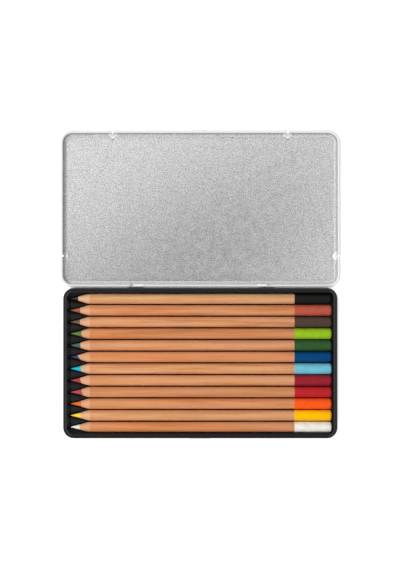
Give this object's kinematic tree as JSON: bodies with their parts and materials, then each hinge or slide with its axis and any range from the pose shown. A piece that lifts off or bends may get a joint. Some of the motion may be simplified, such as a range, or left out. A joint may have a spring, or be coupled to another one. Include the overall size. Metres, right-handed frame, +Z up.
{
  "type": "colored pencil tin",
  "caption": "Flat hinged sheet-steel tin, open, with a formed plastic tray that holds a row of round colouring pencils in natural wood with dipped ends.",
  "frame": {"origin": "centre of the base's flat underside, which stands on the table", "axes": "+X along the pencils from their points to their dipped ends, +Y back from the front edge to the hinge and the open lid, +Z up"},
  "size_m": [0.188, 0.2072, 0.0105],
  "materials": {
    "black_lacquer": "gloss black stoved lacquer on tinplate",
    "tinplate": "bright fine-grained tinplate, unpainted",
    "tray_plastic": "satin black thermoformed polystyrene",
    "cedar": "natural cedar under clear lacquer",
    "black_lead": "black wax-and-pigment lead, dull",
    "black_dip": "black dipped lacquer, glossy",
    "terracotta_lead": "terracotta wax-and-pigment lead, dull",
    "terracotta_dip": "terracotta dipped lacquer, glossy",
    "dark_brown_lead": "dark brown wax-and-pigment lead, dull",
    "dark_brown_dip": "dark brown dipped lacquer, glossy",
    "lime_lead": "lime wax-and-pigment lead, dull",
    "lime_dip": "lime dipped lacquer, glossy",
    "dark_green_lead": "dark green wax-and-pigment lead, dull",
    "dark_green_dip": "dark green dipped lacquer, glossy",
    "blue_lead": "blue wax-and-pigment lead, dull",
    "blue_dip": "blue dipped lacquer, glossy",
    "light_blue_lead": "light blue wax-and-pigment lead, dull",
    "light_blue_dip": "light blue dipped lacquer, glossy",
    "crimson_lead": "crimson wax-and-pigment lead, dull",
    "crimson_dip": "crimson dipped lacquer, glossy",
    "red_lead": "red wax-and-pigment lead, dull",
    "red_dip": "red dipped lacquer, glossy",
    "orange_lead": "orange wax-and-pigment lead, dull",
    "orange_dip": "orange dipped lacquer, glossy",
    "yellow_lead": "yellow wax-and-pigment lead, dull",
    "yellow_dip": "yellow dipped lacquer, glossy",
    "white_lead": "white wax-and-pigment lead, dull",
    "white_dip": "white dipped lacquer, glossy"
  },
  "bodies": {
    "base": {"base_pan": "black_lacquer"},
    "lid": {"lid_pan": "tinplate"},
    "tray": {"pencil_tray": "tray_plastic"},
    "black_pencil": {"black_pencil_barrel": "cedar", "black_pencil_lead": "black_lead", "black_pencil_dip": "black_dip"},
    "terracotta_pencil": {"terracotta_pencil_barrel": "cedar", "terracotta_pencil_lead": "terracotta_lead", "terracotta_pencil_dip": "terracotta_dip"},
    "dark_brown_pencil": {"dark_brown_pencil_barrel": "cedar", "dark_brown_pencil_lead": "dark_brown_lead", "dark_brown_pencil_dip": "dark_brown_dip"},
    "lime_pencil": {"lime_pencil_barrel": "cedar", "lime_pencil_lead": "lime_lead", "lime_pencil_dip": "lime_dip"},
    "dark_green_pencil": {"dark_green_pencil_barrel": "cedar", "dark_green_pencil_lead": "dark_green_lead", "dark_green_pencil_dip": "dark_green_dip"},
    "blue_pencil": {"blue_pencil_barrel": "cedar", "blue_pencil_lead": "blue_lead", "blue_pencil_dip": "blue_dip"},
    "light_blue_pencil": {"light_blue_pencil_barrel": "cedar", "light_blue_pencil_lead": "light_blue_lead", "light_blue_pencil_dip": "light_blue_dip"},
    "crimson_pencil": {"crimson_pencil_barrel": "cedar", "crimson_pencil_lead": "crimson_lead", "crimson_pencil_dip": "crimson_dip"},
    "red_pencil": {"red_pencil_barrel": "cedar", "red_pencil_lead": "red_lead", "red_pencil_dip": "red_dip"},
    "orange_pencil": {"orange_pencil_barrel": "cedar", "orange_pencil_lead": "orange_lead", "orange_pencil_dip": "orange_dip"},
    "yellow_pencil": {"yellow_pencil_barrel": "cedar", "yellow_pencil_lead": "yellow_lead", "yellow_pencil_dip": "yellow_dip"},
    "white_pencil": {"white_pencil_barrel": "cedar", "white_pencil_lead": "white_lead", "white_pencil_dip": "white_dip"}
  },
  "joints": [
    {"name": "lid_hinge", "type": "hinge", "parent": "base", "child": "lid", "pos_m": [0, 0.05165, 0.00635], "axis": [-1, 0, 0], "range_deg": [-180, 0]},
    {"name": "tray_lift_out", "type": "slide", "parent": "base", "child": "tray", "axis": [0, 0, 1], "range_m": [0, 0.025]},
    {"name": "black_pencil_lift_out", "type": "slide", "parent": "tray", "child": "black_pencil", "axis": [0, 0, 1], "range_m": [0, 0.03]},
    {"name": "terracotta_pencil_lift_out", "type": "slide", "parent": "tray", "child": "terracotta_pencil", "axis": [0, 0, 1], "range_m": [0, 0.03]},
    {"name": "dark_brown_pencil_lift_out", "type": "slide", "parent": "tray", "child": "dark_brown_pencil", "axis": [0, 0, 1], "range_m": [0, 0.03]},
    {"name": "lime_pencil_lift_out", "type": "slide", "parent": "tray", "child": "lime_pencil", "axis": [0, 0, 1], "range_m": [0, 0.03]},
    {"name": "dark_green_pencil_lift_out", "type": "slide", "parent": "tray", "child": "dark_green_pencil", "axis": [0, 0, 1], "range_m": [0, 0.03]},
    {"name": "blue_pencil_lift_out", "type": "slide", "parent": "tray", "child": "blue_pencil", "axis": [0, 0, 1], "range_m": [0, 0.03]},
    {"name": "light_blue_pencil_lift_out", "type": "slide", "parent": "tray", "child": "light_blue_pencil", "axis": [0, 0, 1], "range_m": [0, 0.03]},
    {"name": "crimson_pencil_lift_out", "type": "slide", "parent": "tray", "child": "crimson_pencil", "axis": [0, 0, 1], "range_m": [0, 0.03]},
    {"name": "red_pencil_lift_out", "type": "slide", "parent": "tray", "child": "red_pencil", "axis": [0, 0, 1], "range_m": [0, 0.03]},
    {"name": "orange_pencil_lift_out", "type": "slide", "parent": "tray", "child": "orange_pencil", "axis": [0, 0, 1], "range_m": [0, 0.03]},
    {"name": "yellow_pencil_lift_out", "type": "slide", "parent": "tray", "child": "yellow_pencil", "axis": [0, 0, 1], "range_m": [0, 0.03]},
    {"name": "white_pencil_lift_out", "type": "slide", "parent": "tray", "child": "white_pencil", "axis": [0, 0, 1], "range_m": [0, 0.03]}
  ]
}
